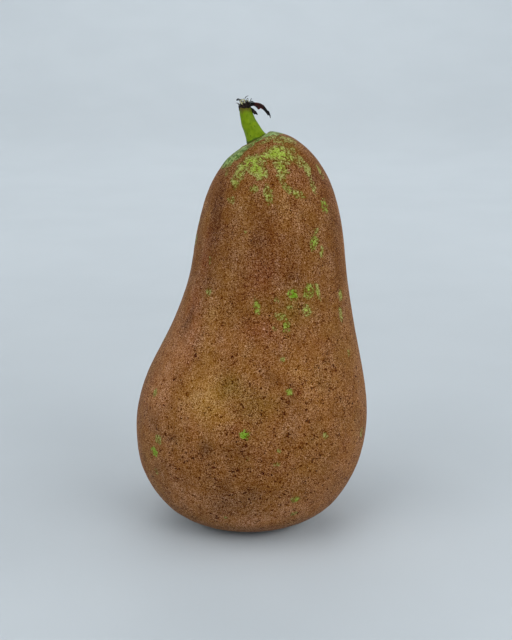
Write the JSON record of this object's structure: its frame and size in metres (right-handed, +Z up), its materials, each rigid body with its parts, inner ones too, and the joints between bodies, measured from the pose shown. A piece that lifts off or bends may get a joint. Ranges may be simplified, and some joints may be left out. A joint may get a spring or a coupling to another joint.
{
  "type": "pear",
  "caption": "Upright russeted pear with a rounded belly, a long leaning neck, a short thick stalk and a dried calyx in a basin underneath.",
  "frame": {"origin": "centre of the whole pear's plan outline, at the level of the surface it rests on", "axes": "+Z up through the pear towards the stalk; -Y is the side the picture shows, with +X to its right"},
  "size_m": [0.0722, 0.0712, 0.1324],
  "materials": {
    "russet_skin": "matte",
    "stalk_skin": "satin",
    "dried_bract": "matte",
    "dried_fibre": "matte",
    "dried_calyx": "matte"
  },
  "bodies": {
    "root": {"fruit": "russet_skin", "stem": "stalk_skin", "long_bract": "dried_bract", "short_bract": "dried_bract", "dry_tuft": "dried_fibre", "calyx": "dried_calyx"}
  },
  "joints": []
}
